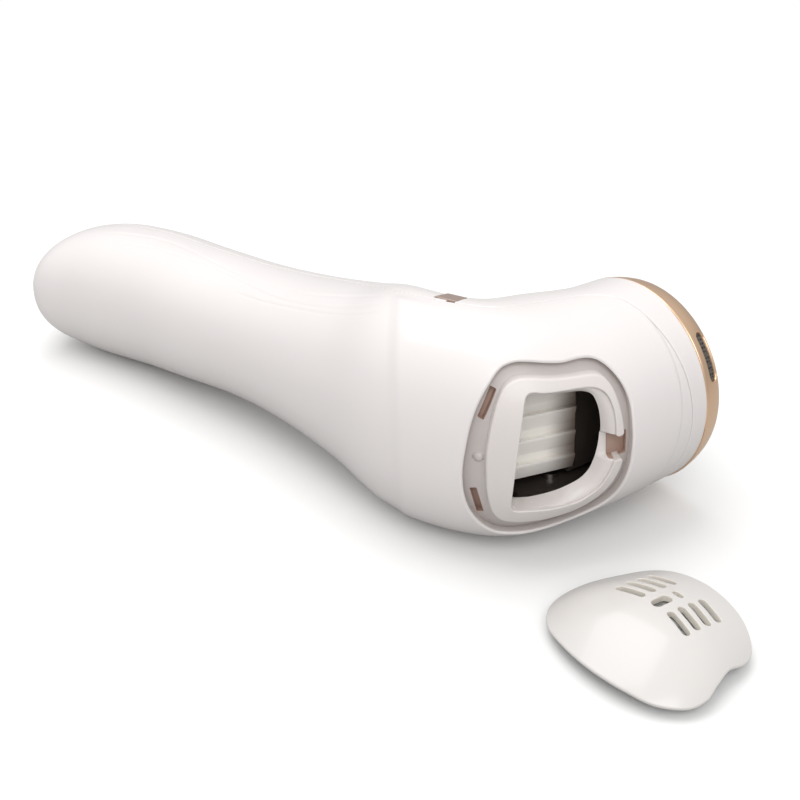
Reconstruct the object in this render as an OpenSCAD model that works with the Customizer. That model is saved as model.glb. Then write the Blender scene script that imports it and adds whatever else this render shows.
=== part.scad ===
// Electric callus remover with a turning grit disc, a suction fan and a
// removable dust cover. Millimetres, +Z up.
// Origin: centre of the grit disc's working face, which looks along -Y. The
// appliance lies on its side with the handle towards +X; its mid plane is z = 0
// before the small rest tilt about the disc axis. Shapes are drawn from the rim
// plane y = 0, where the white head meets the rose-gold rim; rest() moves them.

/* [Handle and head] */
// Radius of the head where it meets the rim
head_r = 26; // [25:0.1:27]
// Radius of the handle at its thinnest place
grip_r = 19; // [18.5:0.1:20]
// Wall thickness of the two shells
wall = 2.2; // [1.8:0.1:2.4]
// Squareness of the handle section (2 is an ellipse)
squareness = 2.2; // [2:0.05:2.4]
// Depth of the white ring that belongs to the front shell
collar_depth = 4.6; // [4:0.1:5.5]
// How far the handle leans down so that its end rests on the table, degrees
rest_tilt = 3.8; // [0:0.1:5]

/* [Rim and disc] */
// Depth of the rose-gold rim
rim_depth = 6.6; // [6:0.1:7.5]
// Outer radius at the front edge of the rim
rim_front_r = 24.2; // [23.5:0.1:24.6]
// Number of air inlets in the rim
inlets = 3; // [1:1:4]
// Radius of the grit disc
disc_r = 20; // [18:0.5:20.5]
// Thickness of the grit disc
disc_t = 1.2; // [0.8:0.1:1.6]
// Radius of the motor shaft
shaft_r = 1.5; // [1:0.1:1.6]
// Running clearance round the shaft
shaft_gap = 0.05; // [0.02:0.01:0.1]
// Number of fan blades
blades = 9; // [5:1:11]

/* [Dust cover] */
// Thickness of the cover
cover_t = 1.6; // [1.4:0.1:1.8]
// Gap between the cover and its recess
cover_gap = 0.3; // [0.2:0.05:0.5]
// Depth of the ledge that the cover drops on
ledge_depth = 3.4; // [3.2:0.1:3.8]
// Vent slots on each side of the cover
vent_slots = 4; // [2:1:4]
// Where the cover is drawn
cover_place = "table"; // [table, fitted]

/* [Power] */
// Radius of the lithium cell
cell_r = 9.2; // [9:0.1:9.3]
// Length of the lithium cell
cell_len = 65; // [60:0.5:66]
// Length of the button
button_len = 6; // [5:0.5:6.5]
// Width of the button
button_w = 5.2; // [4.5:0.1:5.4]

/* [Hidden] */
$fn = 64;
white = [0.95, 0.93, 0.92];
gold = [0.80, 0.60, 0.46];
floor_z = -29.5;               // table top
holder_front = 8;              // rim plane to the back of the grit disc
face_y = holder_front + disc_t; // rim plane to the working face

// ---- helpers ----------------------------------------------------------
module rest() translate([0, face_y, 0]) rotate([0, rest_tilt, 0]) children();
module box(corner, size) translate(corner) cube(size);
// turned about the disc axis: profile in (radius, distance from the rim plane
// towards the disc)
module about_disc(profile, sides = 96) rotate([90, 0, 0])
  rotate_extrude($fn = sides) polygon(profile);
// cylinder on the disc axis from y0 to y1
module y_cyl(r, y0, y1, sides = 64) translate([0, y1, 0]) rotate([90, 0, 0])
  cylinder(r = r, h = y1 - y0, $fn = sides);
// cylinder of diameter "height" with flats "width" apart
module flat_can(width, height, y0, y1) intersection() {
  y_cyl(height/2, y0, y1);
  box([-width/2, y0 - 1, -height], [width, y1 - y0 + 2, 2*height]);
}
// copies spread evenly round the disc axis
module ring_of(count, first = 0) for (i = [0:count - 1])
  rotate([0, first + i*360/count, 0]) children();
// screw with the underside of its head at z = 0
module screw(head_h, shank_r, shank_len) {
  cylinder(r = 1.9, h = head_h, $fn = 32);
  translate([0, 0, 0.2 - shank_len]) cylinder(r = shank_r, h = shank_len, $fn = 24);
}
// point at t between p1 and p2 on the smooth curve through p0..p3
function curve(p0, p1, p2, p3, t) = 0.5*(2*p1 + (p2 - p0)*t
  + (2*p0 - 5*p1 + 4*p2 - p3)*t*t + (3*p1 - p0 - 3*p2 + p3)*t*t*t);

// ---- body form --------------------------------------------------------
// One row per station from the handle end to the rim: centre x, centre y,
// angle of the front side, half depth (front to back), half width (along Z).
stations = [
  [167.5, 87.5, -62, grip_r + 2.6, grip_r + 2.6],
  [153.5, 73.5, -68, grip_r + 1,   grip_r + 1.1],
  [131.5, 64.5, -73, grip_r + 0.8, grip_r + 1],
  [110,   59.5, -75, grip_r + 0.3, grip_r + 0.3],
  [88.5,  54.5, -75, grip_r,       grip_r - 0.2],
  [67.5,  50.5, -74, grip_r + 0.9, grip_r + 1.1],
  [46.5,  48.2, -68, grip_r + 2.3, grip_r + 4.3],
  [29.2,  48.6, -55, grip_r + 3.7, grip_r + 8.4],
  [14,    45.4, -38, head_r - 2.8, head_r + 2.5],
  [4.6,   38,   -20, head_r - 0.2, head_r + 2],
  [2,     24,   -8,  head_r + 1.6, head_r + 0.8],
  [0,     11,   0,   head_r + 0.3, head_r + 0.2],
  [0,     0,    0,   head_r,       head_r]];
last = len(stations) - 1;
cap_len = 1.6;         // stations over which the handle end rounds off
inset_per_station = 20; // inset that moves the inner handle end one station in
ring_pos = 11.59;      // station at the ring that belongs to the front shell
seam_angle = 0.6;      // rear shell stops this many degrees short of the parting line
// mesh stations, close together at the handle end
end_stations = [0.0002, 0.02, 0.07, 0.16, 0.32, 0.55, 0.85, 1.2, 1.6];
function mesh_stations(to) =
  concat(end_stations, [for (pos = [2.1:0.5:to - 0.3]) pos], [to]);

// table row, continued in a straight line past both ends
function station(i) = i < 0 ? 2*stations[0] - stations[1]
  : i > last ? 2*stations[last] - stations[last - 1] : stations[i];
// row at a fractional station
function row_at(pos) = let(i = min(floor(pos), last - 1))
  curve(station(i - 1), station(i), station(i + 1), station(i + 2), pos - i);
// section exponent: handle squareness, easing to an ellipse at the head
function exponent(pos) = pos < 9 ? squareness : pos > 11 ? 2
  : squareness + (2 - squareness)*(pos - 9)/2;
function signed_pow(x, power) = sign(x)*pow(abs(x), power);
function inset_pos(pos, inset) = let(shift = inset/inset_per_station)
  shift + pos*(1 - shift/last);
function cap_scale(pos) = pos >= cap_len ? 1 : sqrt(max(0, 1 - pow(1 - pos/cap_len, 2)));
// point on the body, "inset" under the surface; angle 0 is front, 180 back
function body_pt(pos, angle, inset) =
  let(row = row_at(inset_pos(pos, inset)), power = 2/exponent(pos), scale = cap_scale(pos),
      depth = signed_pow(cos(angle), power)*(row[3] - inset)*scale,
      width = signed_pow(sin(angle), power)*(row[4] - inset)*scale)
  [row[0] + depth*cos(row[2]), row[1] + depth*sin(row[2]), width];

// closed slab of the body between two insets, over a list of stations and
// angles v0..v1 in nv steps
module body_slab(list, v0, v1, inset0, inset1, nv) {
  rows = len(list) - 1;
  row = nv + 1;            // points in a row
  layer = (rows + 1)*row;  // points in the first surface
  pts = [for (inset = [inset0, inset1]) for (pos = list) for (j = [0:nv])
    body_pt(pos, v0 + (v1 - v0)*j/nv, inset)];
  function quad(a, b, c, d) = [[a, c, b], [a, d, c]];
  faces = [
    // the two surfaces
    for (i = [0:rows - 1]) for (j = [0:nv - 1]) let(a = i*row + j, b = layer + a) each concat(
      quad(a, a + 1, a + row + 1, a + row),
      quad(b, b + row, b + row + 1, b + 1)),
    // edges at the first and last station
    for (j = [0:nv - 1]) let(a = rows*row + j) each concat(
      quad(j, layer + j, layer + j + 1, j + 1),
      quad(a, a + 1, layer + a + 1, layer + a)),
    // edges at v0 and v1
    for (i = [0:rows - 1]) let(a = i*row, b = a + nv) each concat(
      quad(a, a + row, layer + a + row, layer + a),
      quad(b, layer + b, layer + b + row, b + row))];
  polyhedron(pts, faces);
}
// the same over n even steps of stations s0..s1 and n steps of angle
module even_slab(s0, s1, v0, v1, inset0, inset1, n)
  body_slab([for (i = [0:n]) s0 + (s1 - s0)*i/n], v0, v1, inset0, inset1, n);

// ---- bin opening ------------------------------------------------------
// Local frame of the opening: X from handle side to disc side, Y along the
// width, Z outward.
open_at = [-15.7, 41.2, 0];
open_dir = 240;        // direction of local X in the XY plane
reach = 14;            // usual half height of the cutting prisms
module opening_frame() translate(open_at) multmatrix([
  [cos(open_dir), 0, sin(open_dir), 0],
  [sin(open_dir), 0, -cos(open_dir), 0],
  [0, 1, 0, 0],
  [0, 0, 0, 1]]) children();
module from_opening_frame() multmatrix([
  [cos(open_dir), sin(open_dir), 0, 0],
  [0, 0, 1, 0],
  [sin(open_dir), -cos(open_dir), 0, 0],
  [0, 0, 0, 1]]) translate(-open_at) children();
// half outlines in local (x, y), closed by mirroring: rim of the recess,
// collar, inner hole
rim_half = [[-18.8, 0], [-18, 8], [-15.6, 15.2], [-11, 20], [-6, 21.4], [-1, 20.4],
  [4, 19.2], [8.5, 19.2], [12.5, 18], [16, 14.5], [18.5, 9], [19.6, 0]];
collar_half = [[-13.6, 0], [-12.8, 8], [-11, 13.6], [-8.2, 17], [-3, 17.8], [4, 17.2],
  [9.5, 16.6], [13, 14.8], [15.6, 11], [17.2, 6], [17.8, 0]];
hole_half = [[-6.2, 0], [-6.2, 6], [-6, 11], [-4.8, 12.6], [-1, 12.9], [4, 12.9],
  [8.4, 12.4], [10.6, 9.6], [11.6, 5], [11.8, 0]];
collar_t = 1.8;
function mirrored(half) =
  concat(half, [for (i = [len(half) - 2:-1:1]) [half[i][0], -half[i][1]]]);
function smooth(loop, steps) = let(n = len(loop)) [for (i = [0:n - 1]) for (j = [0:steps - 1])
  curve(loop[(i + n - 1) % n], loop[i], loop[(i + 1) % n], loop[(i + 2) % n], j/steps)];
// shrink (positive) or grow (negative) a loop about its own normals
function inset_loop(loop, inset) = let(n = len(loop)) [for (i = [0:n - 1])
  let(along = loop[(i + 1) % n] - loop[(i + n - 1) % n])
  loop[i] + inset*[along[1], -along[0]]/norm(along)];
module prism(half, inset = 0, z0 = -reach, z1 = reach) translate([0, 0, z0])
  linear_extrude(z1 - z0) polygon(inset_loop(smooth(mirrored(half), 2), inset));
// slab of the body round the opening
module local_slab(inset0, inset1) even_slab(6.6, 11.4, 105, 255, inset0, inset1, 14);

// ---- outer shells -----------------------------------------------------
button_at = [16.3, 42.2];
button_dir = 17;
module button_place(z) translate([button_at[0], button_at[1], z])
  rotate([0, 0, button_dir]) children();
module button_prism(gap, z0, z1) button_place(z0) linear_extrude(z1 - z0)
  square([button_len + 2*gap, button_w + 2*gap], center = true);
// the socket sits under the handle end and faces the front side
socket_r = 4;
module socket_place() translate([147.5, 70.6, 0]) rotate([0, 0, -69])
  rotate([0, 90, 0]) translate([0, 0, 18]) children();

module front_shell() color(white) rest() difference() {
  ring_r = head_r - 0.04;
  ring_inner_r = head_r - wall - 0.1;
  union() {
    body_slab(mesh_stations(ring_pos + 0.12), -90, 90, 0, wall, 24);
    // ring of the head between the rear shell and the rim
    about_disc([[ring_r, -collar_depth], [ring_r, -0.1],
      [ring_inner_r, -0.1], [ring_inner_r, -collar_depth]]);
  }
  button_prism(0.25, 18, 34);
  // mouth of the charging socket
  socket_place() translate([0, 0, -4]) cylinder(r = socket_r + 0.3, h = 12, $fn = 48);
}

module rear_shell() color(white) rest() difference() {
  union() {
    difference() {
      body_slab(mesh_stations(ring_pos - 0.07), 90 + seam_angle, 270 - seam_angle, 0, wall, 24);
      opening_frame() prism(rim_half, 0.1, z0 = -8);
    }
    // block of wall that the recess is cut into
    intersection() {
      local_slab(1.1, ledge_depth + 1.6);
      opening_frame() prism(rim_half, -1.3);
    }
  }
  // room for the cover
  intersection() {
    local_slab(-3, cover_t + 0.4);
    opening_frame() prism(rim_half);
  }
  // ledge outside the collar and funnel inside it
  intersection() {
    local_slab(-3, ledge_depth);
    opening_frame() difference() {
      prism(rim_half);
      difference() {
        prism(collar_half, 0, -15, 15);
        prism(collar_half, collar_t, -16, 16);
      }
    }
  }
  opening_frame() {
    prism(hole_half);
    // hook slots and latch notch
    for (side = [-1, 1]) translate([-14.2, 12.2*side, -12]) rotate([0, 0, -20*side])
      box([-0.7, -3.3, 0], [1.4, 6.6, 24]);
    box([13.7, -2.9, -12], [5, 5.8, 24]);
  }
}

// ---- rim and grinding head --------------------------------------------
inlet_w = 3.6;
inlet_len = 12.4;
// round-ended slots through the rim, from radius r0 to r1
module inlet_cut(r0, r1, less = 0) for (i = [0:inlets - 1])
  rotate([0, -(150 + i*360/inlets), 0]) translate([r0, -3.9, 0]) rotate([0, 90, 0])
    hull() for (end = [-1, 1]) translate([end*(inlet_len - inlet_w)/2, 0, 0])
      cylinder(r = (inlet_w - less)/2, h = r1 - r0, $fn = 32);

module rim_ring() color(gold) rest() difference() {
  about_disc([[head_r, 0.1], [rim_front_r + 1.1, 3.6], [rim_front_r + 0.55, 5.2],
    [rim_front_r - 0.1, 6.1], [rim_front_r - 1, rim_depth], [rim_front_r - 1.9, 6.2],
    [rim_front_r - 2.1, 5.4], [rim_front_r - 2.1, 0.1]], 128);
  inlet_cut(20, 30);
}

module inlet_meshes() color([0.25, 0.22, 0.2]) rest() intersection() {
  about_disc([[head_r - 1.2, 0.3], [rim_front_r + 0.1, 4.6], [rim_front_r - 0.6, 6.3],
    [rim_front_r - 1.7, 6], [rim_front_r - 1.7, 0.3]]);
  inlet_cut(21, 29, less = 0.2);
}

module abrasive_disc() color([0.45, 0.42, 0.40]) rest()
  y_cyl(disc_r, -face_y, -holder_front, 96);

module disc_holder() color([0.9, 0.88, 0.87]) rest() difference() {
  about_disc([[0, holder_front], [disc_r, holder_front], [disc_r + 0.6, 7.4],
    [disc_r + 0.6, 5.8], [disc_r - 1, 5.8], [disc_r - 1, 6.4], [5, 6.4], [4.2, 1.4], [0, 1.4]]);
  y_cyl(shaft_r, -5, 2, 48);
}

module fan_impeller() color([0.2, 0.2, 0.21]) rest() difference() {
  union() {
    y_cyl(19, 3.4, 4.4, 96);  // back plate
    y_cyl(4, -1, 4.4);        // hub
    ring_of(blades) translate([3.6, -0.6, -0.5]) rotate([0, 24, 0]) cube([14.4, 4.5, 1]);
  }
  y_cyl(shaft_r, -3, 6, 48);
}

module drive_shaft() color("silver") rest() y_cyl(shaft_r, -4.8, 33, 64);

module motor_rotor() color([0.72, 0.45, 0.2]) rest() difference() {
  union() {
    ring_of(3) box([0, 13, -1.6], [5.6, 10, 3.2]);    // arms
    ring_of(3) box([4.6, 13, -2.6], [1.6, 10, 5.2]);  // arm heads
    y_cyl(2.9, 12, 28);
  }
  y_cyl(shaft_r, 10, 36, 48);
}

// ---- motor and its mounting -------------------------------------------
plate_y = 5.2;         // disc side of the motor plate
plate_screw_r = 21;    // radius of the ring of plate screws
can_w = 15.1;          // across the flats
can_h = 20.1;          // across the round sides
can_wall = 0.7;
bush_r = 2.6;
rear_bush_end = 31.6;
// holes through the motor plate, at "ring_r" from the axis
module plate_holes(count, first, ring_r, r) ring_of(count, first)
  translate([ring_r, 8, 0]) rotate([90, 0, 0]) cylinder(r = r, h = 4, $fn = 32);

module motor_plate() color([0.16, 0.16, 0.17]) rest() difference() {
  y_cyl(23.2, plate_y, plate_y + 1.4, 96);
  y_cyl(3.6, 4, 8);
  plate_holes(6, 30, 17, 3);
  plate_holes(3, 60, plate_screw_r, 1.1);
}

module plate_screws() color("silver") rest() ring_of(3, 60)
  translate([plate_screw_r, plate_y - 0.05, 0]) rotate([90, 0, 0]) screw(1.3, 1, 6);

module motor_can() color([0.75, 0.76, 0.78]) rest() difference() {
  union() {
    flat_can(can_w, can_h, 8, 29);
    y_cyl(3.4, 6.8, 8.2);
  }
  flat_can(can_w - 2*can_wall, can_h - 2*can_wall, 9, 30);
  y_cyl(bush_r, 5, 12);
}

module bush(y0, y1) color([0.72, 0.52, 0.28]) rest() difference() {
  y_cyl(bush_r, y0, y1);
  y_cyl(shaft_r + shaft_gap, y0 - 1, y1 + 1);
}
module front_bush() bush(6.9, 10.4);
module rear_bush() bush(29.4, rear_bush_end);

module motor_end_cap() color([0.85, 0.85, 0.82]) rest() difference() {
  spigot_in = 2*can_wall + 0.2;
  union() {
    flat_can(can_w, can_h, 29.1, 30.6);
    flat_can(can_w - spigot_in, can_h - spigot_in, 28.2, 29.3);
    y_cyl(4, 30, 33.6);
  }
  y_cyl(bush_r, 27, rear_bush_end);
  y_cyl(1.9, 30, 33.2);
}

// ribbed wall inside the opening: its start, direction and length
louvre_at = [-9.76, 26.8, 0];
louvre_dir = 75.1;
louvre_len = 21.5;
module louvre_place() translate(louvre_at) rotate([0, 0, louvre_dir]) children();

cradle_t = 1.6;          // side plates of the cradle
cradle_in = 14;          // mid plane to the inside of a side plate
cradle_y = 10;
cradle_len = 32;
cradle_pts = [[-5.4, 30.5], [-4.2, 20]];  // screw places, x and y
// lower z of a plate that starts "inner" from the mid plane
function side_z(side, inner, thick) = side > 0 ? inner : -inner - thick;

module motor_cradle() color([0.13, 0.13, 0.14]) rest() difference() {
  cradle_out = cradle_in + cradle_t;
  union() {
    box([-9.4, 7.4, -12], [18.8, 21, 24]);
    for (side = [-1, 1])
      box([-12.6, cradle_y, side_z(side, cradle_in, cradle_t)], [22.6, cradle_len, cradle_t]);
    // bridges from the block to the side plates
    for (side = [-1, 1]) box([-7, cradle_y, side_z(side, 11, 3.5)], [14, 6, 3.5]);
    // plate on the handle side
    box([8, cradle_y, -cradle_out], [1.8, cradle_len, 2*cradle_out]);
  }
  flat_can(can_w + 0.2, can_h + 0.2, 6, 36);
  box([7, 31, -12], [4, 8, 24]);
  // seat of the ribbed wall, and room for the funnel of the opening
  louvre_place() box([-0.4, -1.3, -11.2], [louvre_len, 7, 24.1]);
  opening_frame() box([-40, -30, -7], [80, 60, 33]);
  for (side = [-1, 1]) for (at = cradle_pts) translate([at[0], at[1], side*14.8])
    cylinder(r = 0.9, h = 12, center = true, $fn = 24);
}

module cradle_screws() color("silver") rest() for (side = [-1, 1]) for (at = cradle_pts)
  translate([at[0], at[1], side*(cradle_in - 0.05)]) rotate([side > 0 ? 180 : 0, 0, 0])
    screw(1.1, 0.9, 3.2);

module louvre_wall() color(white) rest() louvre_place() {
  box([0, -1.1, -9.6], [louvre_len, 1.1, 22.2]);
  for (i = [0:3]) translate([0.6, 0, -7.3 + 6.15*i]) rotate([90, 0, 90])
    linear_extrude(louvre_len - 1.2)
      polygon([[-0.2, -3.6], [0.4, -3.4], [1.5, 0], [1.5, 0.6], [-0.2, 0.6]]);
}

// ---- power ------------------------------------------------------------
// local Z runs along the cell, away from the head
module along_cell() translate([108, 58.6, 0]) rotate([0, 0, 13.5]) rotate([0, 90, 0])
  children();
module battery() color([0.25, 0.42, 0.62]) rest() along_cell() {
  translate([0, 0, -cell_len/2]) cylinder(r = cell_r, h = cell_len - 0.4, $fn = 64);
  translate([0, 0, cell_len/2 - 0.5]) cylinder(r = 3, h = 1.4, $fn = 48);
}

module battery_clips() color("silver") rest() along_cell() {
  for (z = [-cell_len/2 - 1.3, cell_len/2 + 1.1]) box([-6, -6, z], [12, 12, 0.5]);
  translate([0, 0, -cell_len/2 - 1]) cylinder(r1 = 3, r2 = 1.6, h = 0.9, $fn = 32);
}

board_z = 15.5;
board_t = 1.6;
board_dir = 8;
module circuit_board() color([0.1, 0.4, 0.22]) rest()
  translate([12, 38, board_z]) rotate([0, 0, board_dir]) difference() {
    cube([31, 15, board_t]);
    for (x = [2.5, 28.5]) translate([x, 12.5, -1]) cylinder(r = 1.1, h = 4, $fn = 24);
  }

module tact_switch() color([0.15, 0.15, 0.15]) rest()
  translate([button_at[0], button_at[1], board_z + board_t + 0.05]) rotate([0, 0, board_dir]) {
    box([-3, -3, 0], [6, 6, 3.6]);
    cylinder(r = 1.7, h = 5, $fn = 32);
  }

module power_button() color(gold) rest() {
  intersection() {
    button_prism(0, 20, 34);
    button_place(27.3) rotate([8, 0, 0]) cube([20, 20, 2.2], center = true);
  }
  // stem
  translate([button_at[0], button_at[1], 23.3]) cylinder(r = 1.6, h = 4, $fn = 32);
}

module charging_socket() color([0.12, 0.12, 0.12]) rest() socket_place() difference() {
  union() {
    translate([0, 0, -9]) cylinder(r = socket_r, h = 10.2, $fn = 64);
    box([-5, -4.5, -11], [10, 9, 5.5]);
  }
  translate([0, 0, -7]) cylinder(r = 2.8, h = 10, $fn = 64);
}

module wire(path) for (i = [0:len(path) - 2])
  hull() for (at = [path[i], path[i + 1]]) translate(at) sphere(r = 0.7, $fn = 12);
module lead_wires() color([0.75, 0.12, 0.1]) rest() {
  wire([[36, 46, 14.8], [50, 50, 10], [66, 51, 4], [73.2, 51, 0]]);
  wire([[16, 40, 14.7], [12, 36, 9], [4, 34.6, 4]]);
}

// ---- dust cover -------------------------------------------------------
cover_at = [-51.3, 41.9];  // place on the table, y from the rim plane
cover_yaw = -88;
cover_pitch = 6;
cover_lift = 4.9;
module place_cover() {
  if (cover_place == "fitted") rest() children();
  else translate([cover_at[0], cover_at[1] + face_y, floor_z + cover_lift])
    rotate([0, 0, cover_yaw]) rotate([0, -cover_pitch, 0]) from_opening_frame() children();
}
// round-ended slot along Y
module slot(length, width) hull() for (end = [-1, 1])
  translate([0, end*(length - width)/2]) circle(r = width/2, $fn = 16);
module vents() {
  for (side = [-1, 1]) for (i = [0:vent_slots - 1])
    translate([1.5 + 3.3*i, side*6.7]) rotate([0, 0, side*14]) slot(6.8, 1.8);
  translate([3.9, 0]) rotate([0, 0, 90]) slot(5.4, 2.4);
  translate([9, 0]) slot(2.6, 1.4);
}

module dust_cover() color(white) place_cover() difference() {
  intersection() {
    even_slab(6.8, 11.2, 115, 245, 0, cover_t, 20);
    opening_frame() prism(rim_half, cover_gap);
  }
  opening_frame() translate([0, 0, -reach]) linear_extrude(2*reach) vents();
}

// sheet under the cover, "gap" below its inner side
module filter_sheet(gap, thick) place_cover() intersection() {
  local_slab(cover_t + gap, cover_t + gap + thick);
  opening_frame() box([-8, -12, -reach], [17, 24, 2*reach]);
}
module filter_mesh() color([0.55, 0.55, 0.56]) filter_sheet(0.1, 0.4);
module filter_foam() color([0.35, 0.35, 0.36]) filter_sheet(0.6, 3);

front_shell();
rear_shell();
rim_ring();
inlet_meshes();
motor_plate();
plate_screws();
motor_can();
motor_end_cap();
front_bush();
rear_bush();
motor_cradle();
cradle_screws();
louvre_wall();
battery();
battery_clips();
circuit_board();
tact_switch();
charging_socket();
lead_wires();
drive_shaft();
motor_rotor();
fan_impeller();
disc_holder();
abrasive_disc();
power_button();
dust_cover();
filter_mesh();
filter_foam();
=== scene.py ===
"""Battery-driven hand grinder with a round abrasive disc, and its dust cover lying beside it.

Sizes are in millimetres. In the device frame the round head is centred on the Y axis, the disc
faces -Y, the handle runs towards +X and the device is about symmetric in Z. In the row frame
the device is tilted about Y, moved along Y, and the floor lies level below it.
"""
import math
from collections import namedtuple

import bpy
import numpy as np
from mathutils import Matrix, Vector


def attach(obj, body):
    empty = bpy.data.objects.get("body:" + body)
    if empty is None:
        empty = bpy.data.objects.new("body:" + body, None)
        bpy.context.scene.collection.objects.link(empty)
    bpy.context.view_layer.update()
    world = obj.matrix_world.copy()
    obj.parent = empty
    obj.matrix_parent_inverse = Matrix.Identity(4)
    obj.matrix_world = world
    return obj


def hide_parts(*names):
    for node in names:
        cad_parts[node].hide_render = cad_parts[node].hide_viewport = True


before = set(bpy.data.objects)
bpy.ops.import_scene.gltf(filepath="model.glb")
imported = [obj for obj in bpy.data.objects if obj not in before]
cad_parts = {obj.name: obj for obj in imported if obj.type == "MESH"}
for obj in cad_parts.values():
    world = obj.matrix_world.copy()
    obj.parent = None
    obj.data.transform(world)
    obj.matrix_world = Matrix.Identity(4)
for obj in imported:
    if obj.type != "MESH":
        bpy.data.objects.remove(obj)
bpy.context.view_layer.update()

# ---------------------------------------------------------------- frames
MM = 0.001
TILT = math.radians(3.8)
FACE_Y = 9.2
FLOOR_Z = -29.5

# frame of the opening in the head: first axis towards the disc, second axis up, third outwards
OPENING_AT = np.array([-15.7, 41.2, 0.0])
OPENING_TURN = math.radians(240)
OPENING_X = np.array([math.cos(OPENING_TURN), math.sin(OPENING_TURN), 0.0])
OPENING_Y = np.array([0.0, 0.0, 1.0])
OPENING_OUT = np.array([math.sin(OPENING_TURN), -math.cos(OPENING_TURN), 0.0])


def row_direction(vectors):
    """Turns device directions into the row frame."""
    x, y, z = vectors[:, 0], vectors[:, 1], vectors[:, 2]
    cos, sin = math.cos(TILT), math.sin(TILT)
    return np.stack([x * cos + z * sin, y, -x * sin + z * cos], -1)


def row_point(points):
    return row_direction(points) + np.array([0, FACE_Y, 0.0])


def to_opening(points):
    offset = points - OPENING_AT
    return np.stack([offset @ OPENING_X, offset @ OPENING_Y, offset @ OPENING_OUT], -1)


def from_opening(vectors):
    """Turns directions of the opening frame into the device frame."""
    return (vectors[:, :1] * OPENING_X + vectors[:, 1:2] * OPENING_Y
            + vectors[:, 2:3] * OPENING_OUT)


# ------------------------------------------------------- curves and steps
def unit(vectors):
    return vectors / np.maximum(np.linalg.norm(vectors, axis=-1, keepdims=True), 1e-12)


def smooth_step(value, low, high):
    t = np.clip((value - low) / (high - low), 0, 1)
    return t * t * (3 - 2 * t)


def catmull_rom(a, b, c, d, t):
    return 0.5 * (2 * b + (c - a) * t + (2 * a - 5 * b + 4 * c - d) * t * t
                  + (3 * b - a - 3 * c + d) * t ** 3)


def smooth_through(knots, values, x):
    """Cubic curve through (knots, values), knots rising."""
    knots, values = np.asarray(knots, float), np.asarray(values, float)
    slope = np.gradient(values, knots)
    i = np.clip(np.searchsorted(knots, x) - 1, 0, len(knots) - 2)
    span = knots[i + 1] - knots[i]
    t = np.clip((x - knots[i]) / span, 0, 1)
    return ((2 * t ** 3 - 3 * t ** 2 + 1) * values[i]
            + (t ** 3 - 2 * t ** 2 + t) * span * slope[i]
            + (-2 * t ** 3 + 3 * t ** 2) * values[i + 1]
            + (t ** 3 - t ** 2) * span * slope[i + 1])


def outline(points, steps):
    """Closed smooth loop through the points, with the given steps per side."""
    points = np.array(points, float)
    count = len(points)
    return np.array([
        catmull_rom(points[i - 1], points[i], points[(i + 1) % count], points[(i + 2) % count],
                    j / steps)
        for i in range(count) for j in range(steps)])


# ------------------------------------------------------------- body form
# sections from the end of the handle (station 0) to the head (station 12):
# centre x, centre y, direction of the front in degrees, half depth, half width along Z
SECTIONS = np.array([
    [167.5, 87.5, -62, 21.6, 21.6], [153.5, 73.5, -68, 20, 20.1], [131.5, 64.5, -73, 19.8, 20],
    [110, 59.5, -75, 19.3, 19.3], [88.5, 54.5, -75, 19, 18.8], [67.5, 50.5, -74, 19.9, 20.1],
    [46.5, 48.2, -68, 21.3, 23.3], [29.2, 48.6, -55, 22.7, 27.4], [14, 45.4, -38, 23.2, 28.5],
    [4.6, 38, -20, 25.8, 28], [2, 24, -8, 27.6, 26.8], [0, 11, 0, 26.3, 26.2],
    [0, 0, 0, 26, 26]])
EXTENDED = np.vstack([2 * SECTIONS[0] - SECTIONS[1], SECTIONS, 2 * SECTIONS[-1] - SECTIONS[-2]])
LAST = len(SECTIONS) - 1
CAP = 1.6  # stations over which the end of the handle rounds off
HEAD_X = -26  # far side of the head, where sloping lines are measured from

# engraved lines of the grip: stations, angles in degrees, depth
GROOVES = [
    ([1.25, 1.9, 2.6, 3.4, 4.3, 5.2, 6.0, 6.8], [104, 97, 94, 99, 107, 108, 103, 97], 0.10),
    ([1.7, 2.4, 3.1, 3.9, 4.8, 5.6, 6.3, 6.9], [117, 108, 105, 110, 118, 118, 112, 105], 0.10),
    ([4.1, 4.6, 5.2, 5.8, 6.4, 7.0], [124, 125, 124, 122, 118, 112], 0.08),
]
GROOVE_MM_PER_DEGREE = 0.34
GROOVE_FADE = 0.35  # stations over which each end of a line fades
GROOVE_WIDTH = 0.42
BANK_SHARE, BANK_AWAY, BANK_WIDTH = 0.45, 0.9, 0.8  # raised bank beside each line


def section(station):
    """Smoothly blended row of SECTIONS."""
    i = np.clip(np.floor(station), 0, LAST - 1).astype(int)
    rows = [EXTENDED[i + k] for k in range(4)]
    return catmull_rom(*rows, (station - i)[..., None])


def signed_power(value, exponent):
    return np.sign(value) * np.abs(value) ** exponent


def form(station, angle):
    """Offset towards the front, and the body point, at a station and an angle in degrees."""
    row = section(station)
    exponent = 2 / np.interp(station, [9, 11], [2.2, 2.0])
    cap = np.sqrt(np.clip(1 - (1 - np.minimum(station, CAP) / CAP) ** 2, 0, 1))
    turn = np.radians(angle)
    front = signed_power(np.cos(turn), exponent) * row[..., 3] * cap
    side = signed_power(np.sin(turn), exponent) * row[..., 4] * cap
    lean = np.radians(row[..., 2])
    point = np.stack([row[..., 0] + front * np.cos(lean), row[..., 1] + front * np.sin(lean),
                      side], -1)
    return front, point


def body(station, angle):
    return form(station, angle)[1]


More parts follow.
